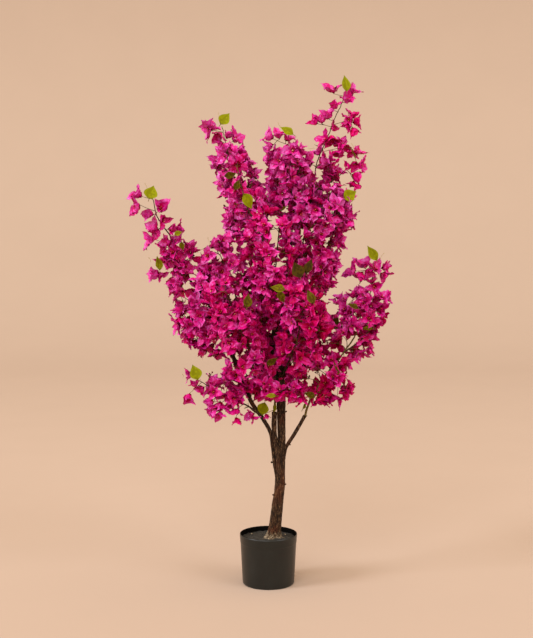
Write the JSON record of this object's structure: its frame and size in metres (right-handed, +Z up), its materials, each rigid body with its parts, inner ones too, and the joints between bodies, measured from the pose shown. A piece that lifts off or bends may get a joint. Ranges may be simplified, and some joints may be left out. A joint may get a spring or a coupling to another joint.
{
  "type": "artificial bougainvillea tree in nursery pot",
  "caption": "Tall artificial bougainvillea: bundled wooden poles rise from a plain round pot into an upright, ragged crown of magenta bracts with a few olive leaves.",
  "frame": {"origin": "centre of the pot's flat underside", "axes": "+Z up along the pot's axis, -Y towards the front, +X towards the side the tall crest leans to"},
  "size_m": [0.7827, 0.4697, 1.5091],
  "materials": {
    "pot": "matte black-grey moulded nursery pot with a faint vertical sheen",
    "fill": "rough dark olive-brown cast fill with a paler smear of cement round the stem",
    "bark": "dark brown real-wood poles with reddish ridges, knots and cut stubs",
    "bracts": "printed magenta cloth bracts, lighter at the points and deep red in the throat"
  },
  "bodies": {
    "root": {"pot": "pot", "pot_fill": "fill", "trunk": "bark", "bough_left": "bark", "pole_mid_left": "bark", "bough_main": "bark", "bough_right": "bark", "back_left_mass": "bracts", "back_right_mass": "bracts", "back_top_spray": "bracts", "back_upper_mass": "bracts", "centre_mass": "bracts", "crest_foot_spray": "bracts", "crest_inner_spray": "bracts", "crest_outer_spray": "bracts", "crest_side_spray": "bracts", "crest_spray": "bracts", "drooping_leaf_spray": "bracts", "drooping_spray": "bracts", "drooping_under_spray": "bracts", "front_left_mass": "bracts", "front_right_mass": "bracts", "front_top_spray": "bracts", "front_upper_mass": "bracts", "left_mass": "bracts", "left_mid_spray": "bracts", "left_outer_spray": "bracts", "left_spray": "bracts", "low_back_mass": "bracts", "low_centre_mass": "bracts", "low_front_spray": "bracts", "low_left_mass": "bracts", "low_right_mass": "bracts", "right_arm_mass": "bracts", "right_mass": "bracts", "right_shoulder_spray": "bracts", "right_tip_spray": "bracts", "upper_left_mass": "bracts", "upper_left_spray": "bracts", "upper_mid_spray": "bracts", "upper_right_mass": "bracts"}
  },
  "joints": []
}
